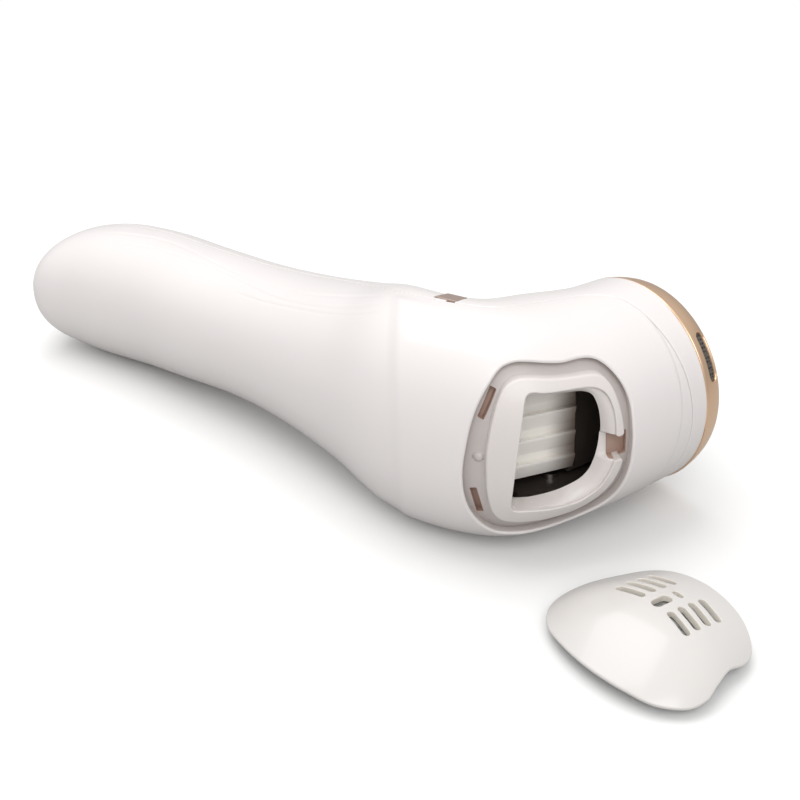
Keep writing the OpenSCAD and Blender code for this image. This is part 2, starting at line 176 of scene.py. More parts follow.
def relief(station, angle, point):
    """Small relief of the outer surface, positive outwards."""
    x, y, z = point[..., 0], point[..., 1], point[..., 2]
    # shallow step of the head next to the ring, on the side away from the handle
    step_y = 9.3 - 0.12 * z + 0.1 * (x - HEAD_X)
    out = (-0.28 * (1 - smooth_step(y, step_y - 0.45, step_y + 0.45))
           * smooth_step(-x, 8, 15))
    # soft crease where the handle grows out of the head, on the rear side only
    rear = smooth_step(angle, 92, 100) * smooth_step(-angle, -268, -260)
    crease = 56.2 - (0.62 * x + 0.78 * y)
    out = out + (0.5 * rear * smooth_step(crease, -1.6, 2.2)
                 * np.exp(-np.clip(crease - 1, 0, 60) / 7))
    for stations, angles, depth in GROOVES:
        first, last = stations[0], stations[-1]
        fade = (smooth_step(station, first, first + GROOVE_FADE)
                * (1 - smooth_step(station, last - GROOVE_FADE, last)))
        away = (angle - smooth_through(stations, angles, station)) * GROOVE_MM_PER_DEGREE
        line = np.exp(-(away / GROOVE_WIDTH) ** 2)
        bank = np.exp(-((away + BANK_AWAY) / BANK_WIDTH) ** 2)
        out = out - depth * fade * (line - BANK_SHARE * bank)
    return out


# -------------------------------------------------- outlines of the opening
# all outlines: first and second axis of the opening frame
# one half of the dust cover's rim; the other half mirrors it in the second axis
COVER_HALF = [
    [-18.8, 0], [-18, 8], [-15.6, 15.2], [-11, 20], [-6, 21.4], [-1, 20.4], [4, 19.2],
    [8.5, 19.2], [12.5, 18], [16, 14.5], [18.5, 9], [19.6, 0]]
RIM_POINTS = [
    [-18.9, -2.0], [-18.1, 3.8], [-16.9, 9.1], [-15.1, 13.7], [-12.6, 17.7], [-10.0, 20.6],
    [-7.0, 21.7], [-3.9, 21.7], [0.5, 21.0], [4.0, 20.5], [7.7, 20.4], [10.7, 20.0],
    [13.5, 18.8], [16.1, 16.4], [18.2, 13.2], [19.4, 9.6], [19.8, 5.1], [19.9, 0.3],
    [19.5, -5.6], [18.2, -11.0], [15.9, -15.4], [12.2, -18.6], [8, -20.2], [3, -21.0],
    [-2, -21.5], [-6.5, -21.9], [-10.5, -21.3], [-13.8, -18.8], [-16.3, -15.4],
    [-17.9, -11.6], [-18.8, -7.2]]
COLLAR_POINTS = [
    [-13.8, -2.9], [-13.7, 2.2], [-13.1, 6.4], [-12.2, 10.4], [-11.0, 14.0], [-9.3, 16.9],
    [-6.8, 18.4], [-3.5, 18.6], [0.1, 18.1], [4.8, 17.6], [8.4, 17.3], [11, 17.0],
    [13.3, 16.1], [15.3, 13.8], [16.7, 10], [17.5, 6], [17.8, 2], [17.7, -3.3],
    [16.8, -6.8], [14.9, -10.5], [11.7, -13.8], [7.3, -16], [1.6, -16.7], [-3.1, -16.9],
    [-7.1, -16.9], [-10.2, -16.2], [-12.3, -13.4], [-13.5, -8.4]]
LIP_POINTS = [
    [-5.1, 14.4], [-4.3, 15.6], [-2.9, 15.8], [-0.7, 15.5], [3.9, 15.3], [7.4, 15.1],
    [11, 14.5], [13.6, 12.8], [15.1, 9.7], [15.6, 6.4], [15.7, 2], [15.5, -2.7],
    [14.5, -5.9], [12.2, -9.8], [8, -12.5], [4.5, -13.0], [1.2, -13.0], [-3.5, -12.8],
    [-6.9, -12.8], [-8.0, -12.2], [-8.2, -10.8], [-8.0, -6], [-7.5, -1], [-6.8, 5.1],
    [-5.9, 10.6]]
HOLE_POINTS = [
    [-4.0, 12.0], [-3.2, 12.7], [-1.6, 12.8], [1.5, 12.7], [4.8, 12.8], [8.2, 12.9],
    [10.4, 12.0], [11.7, 9.2], [12.3, 6.0], [12.4, 3.1], [12.2, 0.4], [11.7, -1.9],
    [10.5, -5.5], [9.2, -7.4], [7.5, -8.8], [4.1, -10.4], [1.8, -11.1], [-0.5, -11.6],
    [-3.5, -12.0], [-6.0, -12.3], [-6.9, -11.7], [-6.8, -9], [-6.4, -4], [-5.7, 2],
    [-4.9, 7]]

RIM, COLLAR, LIP, HOLE = (
    outline(points, 12) for points in (RIM_POINTS, COLLAR_POINTS, LIP_POINTS, HOLE_POINTS))
COVER_RIM = outline(COVER_HALF + [[x, -y] for x, y in COVER_HALF[-2:0:-1]], 16)


def loop_distance(points, loop):
    """Signed distance to a closed loop, positive outside."""
    flat = points.reshape(-1, 2)
    start, end = loop, np.roll(loop, -1, 0)
    edge = end - start
    squared = (edge ** 2).sum(1)
    rise = np.where(np.abs(edge[:, 1]) < 1e-12, 1e-12, edge[:, 1])
    out = np.empty(len(flat))
    chunk = 4000  # points per pass, to limit memory
    for k in range(0, len(flat), chunk):
        part = flat[k:k + chunk, None, :]
        offset = part - start
        along = np.clip((offset * edge).sum(2) / squared, 0, 1)
        distance = np.sqrt(((offset - along[..., None] * edge) ** 2).sum(2).min(1))
        x, y = part[..., 0], part[..., 1]
        spans = (start[:, 1] > y) != (end[:, 1] > y)
        crossed = spans & (x < edge[:, 0] * (y - start[:, 1]) / rise + start[:, 0])
        out[k:k + chunk] = np.where(crossed.sum(1) % 2 == 1, -distance, distance)
    return out.reshape(points.shape[:-1])


def box_distance(points, centre, half, degrees=0.0, corner=0.0):
    """Signed distance to a turned box with rounded corners, positive outside."""
    cos, sin = math.cos(math.radians(degrees)), math.sin(math.radians(degrees))
    offset = points - np.array(centre)
    x = np.abs(offset[..., 0] * cos + offset[..., 1] * sin) - (half[0] - corner)
    y = np.abs(-offset[..., 0] * sin + offset[..., 1] * cos) - (half[1] - corner)
    outside = np.hypot(np.maximum(x, 0), np.maximum(y, 0))
    return outside + np.minimum(np.maximum(x, y), 0) - corner


def stadium_distance(points, centre, length, width, degrees):
    """Signed distance to a slot with round ends; at 0 degrees it runs along the second axis."""
    return box_distance(points, centre, (width / 2, length / 2), degrees, width / 2 - 1e-6)


# --------------------------------------------------------- grid clipping
# A field is a function of 2D parameters that is positive where the surface is kept.
def mesh_grid(u, v):
    return np.stack(np.meshgrid(u, v, indexing="ij"), -1)


def plane_grid(x_range, y_range, step):
    return mesh_grid(*(np.arange(low, high + step / 2, step) for low, high in (x_range, y_range)))


def grid_quads(rows, columns):
    ids = np.arange(rows * columns).reshape(rows, columns)
    corners = [ids[:-1, :-1], ids[1:, :-1], ids[1:, 1:], ids[:-1, 1:]]
    return np.stack(corners, -1).reshape(-1, 4)


def snap_to_border(grid, field):
    """Moves inner grid points close to the border onto it. Returns the grid and its values."""
    grid = grid.copy()
    value = field(grid)
    slope_u = np.gradient(value, axis=0)
    slope_v = np.gradient(value, axis=1)
    steepness = np.maximum(slope_u ** 2 + slope_v ** 2, 1e-18)
    near = np.abs(value) < 0.28 * np.maximum(np.abs(slope_u), np.abs(slope_v)) + 1e-12
    near[0] = near[-1] = False
    near[:, 0] = near[:, -1] = False

    def move(i, j, step):
        du = (grid[i + 1, j] - grid[i - 1, j]) / 2
        dv = (grid[i, j + 1] - grid[i, j - 1]) / 2
        grid[i, j] -= ((step * slope_u[i, j])[:, None] * du
                       + (step * slope_v[i, j])[:, None] * dv)

    i, j = np.nonzero(near)
    move(i, j, value[i, j] / steepness[i, j])
    # a second, limited move corrects what the first one missed
    value = field(grid)
    sloping = np.gradient(value, axis=0) ** 2 + np.gradient(value, axis=1) ** 2 > 1e-18
    i, j = np.nonzero(near & sloping)
    limit = 0.3 / np.sqrt(steepness[i, j])
    move(i, j, np.clip(value[i, j] / steepness[i, j], -limit, limit))
    return grid, np.where(near, 0.0, field(grid))


def crossing_points(verts, value, edges, field):
    """Border points on grid edges whose ends have opposite signs."""
    ends = np.array(edges)
    start, end = verts[ends[:, 0]], verts[ends[:, 1]]
    start_value, end_value = value[ends[:, 0]], value[ends[:, 1]]
    low, high = np.zeros(len(ends)), np.ones(len(ends))
    for _ in range(7):
        span = np.where(start_value == end_value, 1, start_value - end_value)
        t = low + (high - low) * np.clip(start_value / span, 0.02, 0.98)
        new_value = field(start + (end - start) * t[:, None])
        same = np.sign(new_value) == np.sign(start_value)
        low, start_value = np.where(same, t, low), np.where(same, new_value, start_value)
        high, end_value = np.where(same, high, t), np.where(same, end_value, new_value)
    t = np.where(np.abs(start_value) < np.abs(end_value), low, high)
    return start + (end - start) * t[:, None]


def border_loops(faces, on_border):
    """Chains the border edges that belong to one face only into (loop, closed) pairs."""
    single = {}
    for face in faces:
        for k in range(len(face)):
            a, b = face[k], face[(k + 1) % len(face)]
            if on_border[a] and on_border[b]:
                if (b, a) in single:
                    del single[(b, a)]
                else:
                    single[(a, b)] = True
    following = {}
    for a, b in single:
        following.setdefault(a, []).append(b)
    reached = {b for _, b in single}
    loops = []
    # open chains first, from their true ends
    for start in [a for a in following if a not in reached] + list(following):
        if not following.get(start):
            continue
        loop = [start]
        current = start
        closed = False
        while following.get(current):
            current = following[current].pop()
            if current == start:
                closed = True
                break
            loop.append(current)
        if len(loop) > 3:
            loops.append((loop, closed))
    return loops


def clip(grid, field):
    """Keeps the part of a parameter grid where the field is positive.
    Returns vertices, polygons and the loops of vertices on the border."""
    rows, columns = grid.shape[:2]
    total = rows * columns
    grid, value = snap_to_border(grid, field)
    value = value.ravel()
    quads = grid_quads(rows, columns)
    corner = value[quads]
    whole = quads[(corner >= 0).all(1) & (corner > 0).any(1)]
    edges = {}
    cut = []
    for quad in quads[(corner > 0).any(1) & (corner < 0).any(1)]:
        polygon = []
        for k in range(4):
            a, b = int(quad[k]), int(quad[(k + 1) % 4])
            if value[a] >= 0:
                polygon.append(a)
            if value[a] * value[b] < 0:
                edge = (min(a, b), max(a, b))
                polygon.append(edges.setdefault(edge, total + len(edges)))
        if len(polygon) >= 3:
            cut.append(polygon)
    verts = grid.reshape(-1, 2)
    if edges:
        verts = np.vstack([verts, crossing_points(verts, value, list(edges), field)])
    on_border = np.ones(len(verts), bool)
    on_border[:total] = value == 0
    touching = whole[on_border[whole].sum(1) >= 2]
    loops = border_loops(touching.tolist() + cut, on_border)
    return verts, whole.tolist() + cut, loops


# ---------------------------------------------------------- mesh building
class Shape:
    """Collects vertices, normals (zero = automatic) and faces with a material index."""

    def __init__(self):
        self.points, self.normals, self.polygons, self.materials = [], [], [], []
        self.count = 0

    def add(self, points, normals=None):
        first = self.count
        self.points.append(points)
        self.normals.append(np.zeros_like(points) if normals is None else normals)
        self.count += len(points)
        return first

    def faces(self, faces, material=0):
        self.polygons.extend(faces)
        self.materials.extend([material] * len(faces))

    def surface(self, points, normals, faces, material=0):
        """Adds the used vertices of a clipped patch. Returns old-to-new index."""
        used = np.zeros(len(points), bool)
        used[[i for face in faces for i in face]] = True
        index = -np.ones(len(points), int)
        first = self.add(points[used], None if normals is None else normals[used])
        index[used] = first + np.arange(used.sum())
        self.faces([[int(index[i]) for i in face] for face in faces], material)
        return index

    def join(self, upper, lower, closed, material=0):
        """Quads between two rows of vertex indices."""
        count = len(upper)
        self.faces([[upper[(i + 1) % count], upper[i], lower[i], lower[(i + 1) % count]]
                    for i in range(count if closed else count - 1)], material)

    def strip(self, row, closed, points, out, normals, profile, material=0):
        """Sweeps a profile of (outward, depth) steps along a border; depth runs against
        the normals. Returns the last row of vertex indices."""
        for outward, depth in profile:
            first = self.add(points + out * outward - normals * depth)
            following = list(range(first, first + len(row)))
            self.join(row, following, closed, material)
            row = following
        return row

    def build(self, name, materials, to_row=row_point, to_direction=row_direction, sharp=48,
              flip=False):
        points = to_row(np.vstack(self.points)) * MM
        mesh = bpy.data.meshes.new(name)
        faces = [face[::-1] for face in self.polygons] if flip else self.polygons
        mesh.from_pydata(points.tolist(), [], faces)
        mesh.polygons.foreach_set("material_index", np.array(self.materials, np.int32))
        mesh.polygons.foreach_set("use_smooth", np.ones(len(mesh.polygons), bool))
        for key in materials:
            mesh.materials.append(MATERIALS[key])
        mesh.update()
        mesh.set_sharp_from_angle(angle=math.radians(sharp))
        normals = to_direction(np.vstack(self.normals))
        if np.abs(normals).sum() > 0:
            mesh.normals_split_custom_set_from_vertices(normals.tolist())
        ob = bpy.data.objects.new(name, mesh)
        bpy.context.scene.collection.objects.link(ob)
        return ob


def fillet(radius, segments, walls=()):
    """Quarter-round profile, followed by a straight wall through the given depths."""
    turns = np.linspace(0, math.pi / 2, segments + 1)[1:]
    curve = [(radius * math.sin(t), radius * (1 - math.cos(t))) for t in turns]
    return curve + [(radius, depth) for depth in walls]


def face_along(normals, guide):
    """Flips the normals that point against the guide directions."""
    against = (normals * guide).sum(-1) < 0
    return normals * np.where(against, -1.0, 1.0)[..., None]


def surface_outward(field, position, params, step_u, step_v):
    """Unit directions on a curved surface in which the field falls fastest."""
    du, dv = np.array([step_u, 0.0]), np.array([0.0, step_v])
    field_u = field(params + du) - field(params - du)
    field_v = field(params + dv) - field(params - dv)
    along_u = position(params + du) - position(params - du)
    along_v = position(params + dv) - position(params - dv)
    # solve for the tangent gradient whose products with both directions match the field
    uu = (along_u * along_u).sum(1)
    uv = (along_u * along_v).sum(1)
    vv = (along_v * along_v).sum(1)
    determinant = np.maximum(uu * vv - uv * uv, 1e-18)
    share_u = (vv * field_u - uv * field_v) / determinant
    share_v = (-uv * field_u + uu * field_v) / determinant
    return -unit(share_u[:, None] * along_u + share_v[:, None] * along_v)


# ------------------------------------------------------------ shader nodes
MIX_A, MIX_B, MIX_OUT = 6, 7, 2  # colour sockets of the Mix node


def add_node(tree, kind, inputs=None, **settings):
    """New node with its settings; each input takes a plain value or another node's output."""
    node = tree.nodes.new(kind)
    for name, value in settings.items():
        setattr(node, name, value)
    for key, value in (inputs or {}).items():
        if isinstance(value, bpy.types.NodeSocket):
            tree.links.new(value, node.inputs[key])
        else:
            node.inputs[key].default_value = value
    return node


def add_mix(tree, factor, first, second):
    mix = add_node(tree, "ShaderNodeMix", data_type="RGBA",
                   inputs={0: factor, MIX_A: first, MIX_B: second})
    return mix.outputs[MIX_OUT]


def add_ramp(tree, factor, stops):
    """Colour ramp with two (position, colour) stops."""
    ramp = add_node(tree, "ShaderNodeValToRGB", {0: factor})
    for element, (position, colour) in zip(ramp.color_ramp.elements, stops):
        element.position = position
        element.color = (*colour, 1)
    return ramp.outputs[0]


def find_node(tree, kind):
    return next(node for node in tree.nodes if node.type == kind)


# -------------------------------------------------------------- materials
def principled(name, rough, metal=0.0, coat=0.0, coat_rough=0.05, spec=0.5):
    """Material with a Principled shader. Returns it, the shader and object coordinates."""
    mat = bpy.data.materials.new(name)
    mat.use_nodes = True
    tree = mat.node_tree
    tree.nodes.clear()
    output = tree.nodes.new("ShaderNodeOutputMaterial")
    shader = add_node(tree, "ShaderNodeBsdfPrincipled", {
        "Roughness": rough, "Metallic": metal, "Coat Weight": coat,
        "Coat Roughness": coat_rough, "Specular IOR Level": spec})
    tree.links.new(shader.outputs[0], output.inputs[0])
    coords = tree.nodes.new("ShaderNodeTexCoord").outputs["Object"]
    return mat, shader, coords


def mottled(name, base, rough, noise=0.0, scale=400.0, dark=None, rough_noise=0.0, bump=0.0,
            bump_scale=900.0, **finish):
    """Colour varied by noise between base and a darker tone, with optional roughness noise
    and bumps."""
    mat, shader, coords = principled(name, rough, **finish)
    tree = mat.node_tree
    speckle = add_node(tree, "ShaderNodeTexNoise",
                       {"Scale": scale, "Detail": 3, "Vector": coords}).outputs["Fac"]
    low = [channel * (1 - noise) for channel in base] if dark is None else dark
    colour = add_mix(tree, speckle, (*low, 1), (*base, 1))
    tree.links.new(colour, shader.inputs["Base Color"])
    if rough_noise:
        spread = add_node(tree, "ShaderNodeMapRange", {
            "To Min": max(rough - rough_noise, 0.02), "To Max": rough + rough_noise,
            "Value": speckle})
        tree.links.new(spread.outputs[0], shader.inputs["Roughness"])
    if bump:
        grain = add_node(tree, "ShaderNodeTexNoise", {"Scale": bump_scale, "Vector": coords})
        bumps = add_node(tree, "ShaderNodeBump", {
            "Strength": bump, "Distance": 0.0002, "Height": grain.outputs["Fac"]})
        tree.links.new(bumps.outputs[0], shader.inputs["Normal"])
    return mat


def woven(name, wire, gap, pitch, rough, metal):
    """Crossed wires drawn by the cell borders of an even Voronoi pattern; pitch in metres."""
    mat, shader, coords = principled(name, rough, metal)
    tree = mat.node_tree
    cells = add_node(tree, "ShaderNodeTexVoronoi", feature="DISTANCE_TO_EDGE",
                     inputs={"Scale": 1 / pitch, "Randomness": 0.0, "Vector": coords})
    colour = add_ramp(tree, cells.outputs["Distance"], [(0.14, wire), (0.24, gap)])
    tree.links.new(colour, shader.inputs["Base Color"])
    return mat


WHITE = (0.82, 0.778, 0.765)
SHELL_GLOSS = dict(base=WHITE, rough=0.36, coat=0.5, coat_rough=0.11, noise=0.012, scale=60)
MOTTLED = {
    "gloss_white_rear": SHELL_GLOSS,
    "gloss_white_front": SHELL_GLOSS,
    # painted shade: the recess white is the shell white darkened for the shade inside the opening
    "recess_white_painted_shade": dict(base=(0.735, 0.685, 0.66), rough=0.42, coat=0.3, coat_rough=0.15,
                         noise=0.02, scale=90),
    # painted shade: the ledge is darker again, for the shade at the bottom of the recess
    "ledge_white_painted_shade": dict(base=(0.575, 0.53, 0.51), rough=0.45, coat=0.2, coat_rough=0.15,
                        noise=0.02, scale=90),
    # painted shade: warm brown for the walls and floors of the hook slots and the latch notch,
    # standing for their shade
    "notch_and_slots_painted_shade": dict(base=(0.44, 0.30, 0.245), rough=0.55, coat=0.1, coat_rough=0.2,
                             noise=0.05, scale=200),
    "gloss_white_cover": dict(base=(0.69, 0.662, 0.64), rough=0.32, coat=0.5,
                              coat_rough=0.09, noise=0.012, scale=60),
    "cream_vent_wall": dict(base=(0.70, 0.66, 0.60), rough=0.5, noise=0.05, scale=300),
    "rose_gold": dict(base=(0.86, 0.60, 0.405), rough=0.30, metal=1.0, noise=0.03,
                      scale=500, rough_noise=0.04),
    "button_rose_gold": dict(base=(0.52, 0.39, 0.33), rough=0.32, metal=0.75, coat=0.2,
                             coat_rough=0.1, noise=0.03, scale=500),
    "black_plastic": dict(base=(0.055, 0.044, 0.038), rough=0.33, coat=0.15, coat_rough=0.2,
                          noise=0.25, scale=300, bump=0.15),
    "screw_steel": dict(base=(0.50, 0.47, 0.43), rough=0.3, metal=1.0, noise=0.2, scale=900,
                        rough_noise=0.1),
    "motor_steel": dict(base=(0.62, 0.62, 0.63), rough=0.28, metal=1.0, noise=0.08,
                        scale=250, rough_noise=0.08),
    "cap_plastic": dict(base=(0.78, 0.76, 0.70), rough=0.5, noise=0.05, scale=250),
    "sintered_bronze": dict(base=(0.55, 0.36, 0.16), rough=0.42, metal=1.0, noise=0.3,
                            scale=1600, bump=0.3),
    # painted light: brighter than the shell white, for the ribbed inner wall lit through the
    # opening; painted shade is added to it further down
    "inner_white": dict(base=(0.97, 0.935, 0.88), rough=0.45, coat=0.2, coat_rough=0.2,
                        noise=0.02, scale=200),
    "cell_wrap": dict(base=(0.09, 0.22, 0.42), rough=0.3, coat=0.4, coat_rough=0.1,
                      noise=0.08, scale=120),
    "clip_nickel": dict(base=(0.68, 0.66, 0.60), rough=0.25, metal=1.0, noise=0.06,
                        scale=300),
    "board_green": dict(base=(0.02, 0.16, 0.07), rough=0.35, coat=0.5, coat_rough=0.1,
                        noise=0.35, scale=700),
    "wire_red": dict(base=(0.55, 0.03, 0.02), rough=0.35, noise=0.1, scale=500),
    "shaft_steel": dict(base=(0.66, 0.67, 0.68), rough=0.16, metal=1.0, noise=0.05,
                        scale=400, rough_noise=0.05),
    "rotor_copper": dict(base=(0.62, 0.27, 0.10), rough=0.32, metal=1.0, noise=0.35,
                         scale=1500, bump=0.5, bump_scale=3000),
    "fan_grey": dict(base=(0.07, 0.07, 0.075), rough=0.4, noise=0.1, scale=300),
    "holder_white": dict(base=(0.76, 0.73, 0.71), rough=0.4, coat=0.2, coat_rough=0.1,
                         noise=0.03, scale=200),
    "grit": dict(base=(0.30, 0.27, 0.25), rough=0.75, dark=(0.035, 0.032, 0.03),
                 scale=2600, bump=0.8, bump_scale=4200),
    "foam_grey": dict(base=(0.12, 0.12, 0.125), rough=0.95, noise=0.7, scale=1500,
                      bump=1.0, bump_scale=1800),
}
WOVEN = {
    "dark_inlet_mesh": dict(wire=(0.16, 0.14, 0.125), gap=(0.018, 0.016, 0.014),
                            pitch=0.0007, rough=0.5, metal=0.6),
    "grey_filter_mesh": dict(wire=(0.42, 0.42, 0.41), gap=(0.10, 0.10, 0.10),
                             pitch=0.0006, rough=0.55, metal=0.3),
}
MATERIALS = {name: mottled(name, **look) for name, look in MOTTLED.items()}
MATERIALS.update({name: woven(name, **look) for name, look in WOVEN.items()})

# --------------------------------------------------------- the two shells
FAR = 9.0  # field value where a feature plays no part
RIM_ROUND = 0.55
SEAM_ROUND = 0.24
SEAM_GAP = 0.1  # from each shell to the parting line
SEAM_BEND = 7.5  # radius where the two runs of the parting line meet

BUTTON_AT = (16.3, 42.2)
BUTTON_Z = 27.0
BUTTON_HALF = (2.95, 2.55)
BUTTON_GAP = 0.3
BUTTON_YAW = 17
BUTTON_TILT = math.radians(8)
BUTTON_HOLE_ROUND = 0.3

SOCKET_AT = np.array([147.5, 70.6, 0.0])
SOCKET_TURN = math.radians(-69)
SOCKET_AXIS = np.array([math.cos(SOCKET_TURN), math.sin(SOCKET_TURN), 0.0])
SOCKET_RADIUS = 4.3
SOCKET_ROUND = 0.5


def seam_field(station, angle):
    """Distance to the parting line, positive on the rear shell, and the body point."""
    front, point = form(station, angle)
    shift = 4.2 * (1 - smooth_step(station, 5.2, 7.3)) * smooth_step(station, 0.0, 1.2)
    behind = -front + shift
    above_ring = point[..., 1] - (5.0 + 0.2 * (point[..., 0] - HEAD_X))
    distance = SEAM_BEND - np.hypot(np.maximum(SEAM_BEND - behind, 0),
                                    np.maximum(SEAM_BEND - above_ring, 0))
    return distance, point


def rim_distance(points):
    """Distance to the rim of the opening, limited to FAR, for points on the body."""
    flat = to_opening(points.reshape(-1, 3))
    out = np.full(len(flat), FAR)
    near = (np.abs(flat[:, 0] - 0.4) < 24) & (np.abs(flat[:, 1]) < 26) & (flat[:, 2] > -12)
    out[near] = np.minimum(loop_distance(flat[near, :2], RIM), FAR)
    return out.reshape(points.shape[:-1])


def rear_field(grid):
    seam, points = seam_field(grid[..., 0], grid[..., 1])
    return np.minimum(seam - SEAM_GAP - SEAM_ROUND, rim_distance(points) - RIM_ROUND)


def front_field(grid):
    seam, points = seam_field(grid[..., 0], grid[..., 1])
    offset = points - SOCKET_AT
    along = offset @ SOCKET_AXIS
    radius = np.linalg.norm(offset - along[..., None] * SOCKET_AXIS, axis=-1)
    socket = np.where(along > 0, radius - SOCKET_RADIUS - SOCKET_ROUND, FAR)
    half = [size + BUTTON_GAP for size in BUTTON_HALF]
    hole = box_distance(points[..., :2], BUTTON_AT, half, BUTTON_YAW, corner=0.8)
    button = np.where(points[..., 2] > 10, hole - BUTTON_HOLE_ROUND, FAR)
    return np.minimum(np.minimum(-seam - SEAM_GAP - SEAM_ROUND, socket), button)


def raised_body(station, angle):
    """Body point with its relief, and the normal of the plain body there."""
    station = np.clip(station, 0, LAST)
    point = body(station, angle)
    along = (body(np.clip(station + 2e-3, 2e-5, LAST), angle)
             - body(np.clip(station - 2e-3, 1e-5, LAST), angle))
    off_pole = np.clip(station, 1e-4, LAST)
    around = body(off_pole, angle + 2e-2) - body(off_pole, angle - 2e-2)
    radial = point.copy()
    radial[..., :2] -= section(station)[..., :2]
    normal = face_along(unit(np.cross(along, around)), radial)
    return point + normal * relief(station, angle, point)[..., None], normal


def outer_surface(params):
    """Points and true normals of the outer surface, relief included."""
    station, angle = params[:, 0], params[:, 1]
    point, plain_normal = raised_body(station, angle)
    along = (raised_body(np.minimum(station + 3e-3, LAST), angle)[0]
             - raised_body(np.maximum(station - 3e-3, 1e-5), angle)[0])
    off_pole = np.maximum(station, 1e-4)
    around = raised_body(off_pole, angle + 4e-2)[0] - raised_body(off_pole, angle - 4e-2)[0]
    return point, face_along(unit(np.cross(along, around)), plain_normal)


def station_run(cap_steps, steps):
    """Stations packed towards the end of the handle, then evenly spaced."""
    turns = np.linspace(0, math.pi / 2, cap_steps + 1)
    return np.concatenate([CAP * (1 - np.cos(turns)), np.linspace(CAP, LAST, steps + 1)[1:]])


def rear_edge(shape, row, closed, points, out, normals, is_opening):
    if not is_opening:
        shape.strip(row, closed, points, out, normals, fillet(SEAM_ROUND, 4, (0.6, 0.95)))
        return
    # edge of the recess: round, then straight down into it
    last = shape.strip(row, closed, points, out, normals, fillet(RIM_ROUND, 6))
    below = points + out * RIM_ROUND - normals * RIM_ROUND
    # the straight wall takes the recess white, darkened as painted shade
    shape.strip(last, closed, below, out, OPENING_OUT, [(0, 0.5), (0, 1.2), (0, 2.9)], 1)


def front_edge(shape, row, closed, points, out, normals, is_opening):
    if is_opening:
        at_socket = np.linalg.norm(points.mean(0) - SOCKET_AT) < 40
        radius = SOCKET_ROUND if at_socket else BUTTON_HOLE_ROUND
        profile = fillet(radius, 4, (0.9, 2.6))
    else:
        # the front shell ends in a tongue that reaches under the rear shell
        profile = fillet(SEAM_ROUND, 4, (0.6, 1.05))
        profile += [(SEAM_ROUND + 0.8, 1.1), (SEAM_ROUND + 1.6, 1.15)]
    shape.strip(row, closed, points, out, normals, profile)


def shell_shape(angles, field, add_edge):
    shape = Shape()
    stations = station_run(60, 470)
    params, faces, loops = clip(mesh_grid(stations, angles), field)
    points, normals = outer_surface(params)
    index = shape.surface(points, normals, faces)
    for loop, closed in loops:
        if not closed and len(loop) < 12:
            continue
        border = params[loop]
        normal = normals[loop]
        out = surface_outward(field, lambda uv: body(uv[:, 0], uv[:, 1]), border, 4e-3, 6e-2)
        out = unit(out - (out * normal).sum(1, keepdims=True) * normal)
        seam = np.abs(seam_field(border[:, 0], border[:, 1])[0])
        add_edge(shape, index[loop].tolist(), closed, points[loop], out, normal,
                 closed and np.median(seam) > 0.6)
    return shape


angle_count = 300
rear_ob = shell_shape(np.linspace(80, 280, angle_count), rear_field, rear_edge).build(
    "rear_shell_body", ["gloss_white_rear", "recess_white_painted_shade"], flip=True)
front_ob = shell_shape(np.linspace(-180, 180, int(angle_count * 1.7)), front_field,
                       front_edge).build("front_shell_body", ["gloss_white_front"], flip=True)

# ------------------------------------------------- height of the opening
FIT_HALF = (24, 25)
FIT_DEGREE = 8


def fit_height():
    """Polynomial for the body's height in the opening frame, even in the second axis.
    Returns (power of x, power of y, factor) terms."""
    points = body(*np.meshgrid(np.linspace(6.2, 11.5, 150), np.linspace(100, 260, 190),
                               indexing="ij"))
    flat = to_opening(points.reshape(-1, 3))
    near = ((np.abs(flat[:, 0]) < FIT_HALF[0]) & (np.abs(flat[:, 1]) < FIT_HALF[1])
            & (flat[:, 2] > -12))
    flat = flat[near]
    x, y = flat[:, 0] / FIT_HALF[0], flat[:, 1] / FIT_HALF[1]
    powers = [(i, j) for i in range(FIT_DEGREE + 1) for j in range(0, FIT_DEGREE + 1 - i, 2)]
    columns = np.stack([x ** i * y ** j for i, j in powers], 1)
    factors = np.linalg.lstsq(columns, flat[:, 2], rcond=None)[0]
    return [(i, j, factor) for (i, j), factor in zip(powers, factors)]


HEIGHT_TERMS = fit_height()


def height(points):
    x, y = points[:, 0] / FIT_HALF[0], points[:, 1] / FIT_HALF[1]
    return sum(factor * x ** i * y ** j for i, j, factor in HEIGHT_TERMS)


def slopes(function, points, step):
    """Slopes of a function of plane points along both axes."""
    return [(function(points + shift) - function(points - shift)) / (2 * step)
            for shift in (np.array([step, 0]), np.array([0, step]))]


def lifted_surface(surface, points, slope_step):
    """Points, unit normals and slopes of a height surface over the plane."""
    slope_x, slope_y = slopes(surface, points, slope_step)
    lifted = np.column_stack([points, surface(points)])
    normals = unit(np.column_stack([-slope_x, -slope_y, np.ones(len(points))]))
    return lifted, normals, slope_x, slope_y


def lifted_outward(field, points, slope_x, slope_y):
    """Directions on the height surface away from the kept part, unit length in the plane."""
    flat = -unit(np.column_stack(slopes(field, points, 0.03)))
    return np.column_stack([flat, slope_x * flat[:, 0] + slope_y * flat[:, 1]])


# ------------------------------------------------------ recess and collar
# test: truth of (border points, closed), once or per point; walls: depths below the round
Edge = namedtuple("Edge", "test radius walls material segments")


def edge_runs(verts, loop, closed, edges):
    """Parts of a border loop that take an edge, as (indices, closed, edge)."""
    free = np.ones(len(loop), bool)
    for edge in edges:
        fits = np.broadcast_to(edge.test(verts[loop], closed), (len(loop),)) & free
        if fits.all():
            yield np.array(loop), closed, edge
            return
        if not fits.any():
            continue
        free = free & ~fits
        first = int(np.nonzero(~fits)[0][0]) if closed else 0
        part = []
        for i in list(np.roll(np.arange(len(loop)), -first)) + [None]:
            if i is not None and fits[i]:
                part.append(int(i))
            elif part:
                if len(part) > 2:
                    yield np.array(loop)[part], False, edge
                part = []


